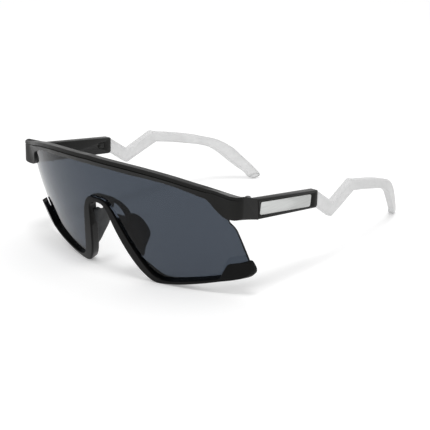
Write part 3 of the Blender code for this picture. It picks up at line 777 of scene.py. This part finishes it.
def stem_centre(along):
    """How far inwards a stem has turned at a distance behind the shell, and its slope there."""
    path = scaled(stem_inset_shares, stem_length, stem_inset)
    step = 0.5 * mm
    place = min(max(along, 0), path[-1][0] - step)
    inset = height_at(path, place)
    return inset, (height_at(path, place + step) - inset) / step


def stem_edge(corners):
    """One edge of a stem, straight from kink to kink and smooth after the last kink."""
    last_kink = 3
    steps = 6
    made = [corners[0]]
    for start, end in zip(corners[:last_kink], corners[1:]):
        made += [between(start, end, k / steps) for k in range(1, steps + 1)]
    return made + run(corners[last_kink:], 5)[1:]


def ear_stem(side):
    """A kinked stem of even thickness that turns inwards towards its tip."""
    start = shell_end + stem_gap
    pairs = [((start - shell_top * tan(shell_end_lean), shell_top - stem_below_shell),
              (start + shell_rear_drop * tan(shell_end_lean), stem_below_shell - shell_rear_drop))]
    for (ux, uy), (lx, ly) in stem_pair_shares:
        pairs.append(((start + ux * stem_length, shell_top + uy * stem_drop),
                      (start + lx * stem_length, shell_top + ly * stem_drop)))
    upper, under = (stem_edge(list(corners)) for corners in zip(*pairs))
    sign = 1 if side == "left" else -1
    rings = []
    for top, low in zip(upper, under):
        ring = []
        for (along, up), levels in ((top, (-1, 1)), (low, (1, -1))):
            inset, slope = stem_centre(along - start)
            half = stem_thickness / 2 * sqrt(1 + slope * slope)
            centre = hinge_inset - shell_thickness / 2 - inset
            for level in levels:
                ring.append((centre + level * half, along, up))
        rings.append(ring)
    made = skin("stem_" + side, rings, mirror_place(temple_place, sign), frosted)
    rounded(made, stem_round, 4, stem_round_limit)
    worn_by(made, "temple_" + side, "frosted_clear", "ear_stem_" + side)


brow_frame()
lower_rim()
lens_shield()
nose_saddle()
for side in ("left", "right"):
    nose_wing(side)
    ear_stem(side)


# Studio

floor_half = 3
floor_below = 0.05 * mm
floor_color = (0.9, 0.9, 0.9, 1)
floor_lift = 0.22
white = (1, 1, 1, 1)
fill_strength = 0.7
camera_place = (408.7 * mm, -462.2 * mm, 220.9 * mm)
camera_target = (8.6 * mm, -11.2 * mm, 15.1 * mm)
focal_length = 106.9
sensor_width = 36
key_place = (0.45, -0.56, 1.75)
key_size = 0.6
key_power = 12


def seen_white(tree):
    """One for the rays that see the stage straight, in gloss or through glass, and zero for the light."""
    rays = tree.nodes.new("ShaderNodeLightPath")
    source = rays.outputs["Is Camera Ray"]
    for other in ("Is Glossy Ray", "Is Transmission Ray"):
        larger = tree.nodes.new("ShaderNodeMath")
        larger.operation = "MAXIMUM"
        tree.links.new(source, larger.inputs[0])
        tree.links.new(rays.outputs[other], larger.inputs[1])
        source = larger.outputs[0]
    return source


def white_stage(name, color, lift):
    """A plain pale surface, lifted to white where it is seen, that keeps the object's shadow."""
    made = bpy.data.materials.new(name)
    made.use_nodes = True
    tree = made.node_tree
    shader = tree.nodes["Principled BSDF"]
    shader.inputs["Base Color"].default_value = color
    shader.inputs["Roughness"].default_value = 0.9
    shader.inputs["Specular IOR Level"].default_value = 0
    shader.inputs["Emission Color"].default_value = white
    amount = tree.nodes.new("ShaderNodeMath")
    amount.operation = "MULTIPLY"
    amount.inputs[1].default_value = lift
    tree.links.new(seen_white(tree), amount.inputs[0])
    tree.links.new(amount.outputs[0], shader.inputs["Emission Strength"])
    return made


def floor():
    """A wide sheet that the rim and the stems stand on."""
    sheet = bmesh.new()
    corners = ((-1, -1), (1, -1), (1, 1), (-1, 1))
    sheet.faces.new([sheet.verts.new((x * floor_half, y * floor_half, 0)) for x, y in corners])
    made = placed("floor", sheet, white_stage("pale_floor", floor_color, floor_lift))
    made.location = (0, 0, -floor_below)


def aimed(name, data, place, target):
    """An object of the scene that looks from its place to the target."""
    made = bpy.data.objects.new(name, data)
    made.location = place
    made.rotation_euler = (Vector(target) - Vector(place)).to_track_quat("-Z", "Y").to_euler()
    bpy.context.scene.collection.objects.link(made)
    return made


def key_light():
    """A round soft lamp, high up in front."""
    lamp = bpy.data.lights.new("key", "AREA")
    lamp.shape = "DISK"
    lamp.size = key_size
    lamp.energy = key_power
    aimed("key", lamp, key_place, (0, 0, 0))


def world():
    """Soft light from all round, and white where the world is seen."""
    made = bpy.data.worlds.new("studio")
    made.use_nodes = True
    tree = made.node_tree
    fill = tree.nodes["Background"]
    fill.inputs["Color"].default_value = white
    fill.inputs["Strength"].default_value = fill_strength
    seen = tree.nodes.new("ShaderNodeBackground")
    seen.inputs["Color"].default_value = white
    seen.inputs["Strength"].default_value = 1
    choice = tree.nodes.new("ShaderNodeMixShader")
    tree.links.new(seen_white(tree), choice.inputs["Fac"])
    tree.links.new(fill.outputs["Background"], choice.inputs[1])
    tree.links.new(seen.outputs["Background"], choice.inputs[2])
    tree.links.new(choice.outputs["Shader"], tree.nodes["World Output"].inputs["Surface"])
    bpy.context.scene.world = made


def camera():
    """The photograph's own view."""
    lens = bpy.data.cameras.new("camera")
    lens.lens = focal_length
    lens.sensor_width = sensor_width
    bpy.context.scene.camera = aimed("camera", lens, camera_place, camera_target)


floor()
world()
camera()
key_light()
bpy.context.scene.view_settings.view_transform = "Standard"
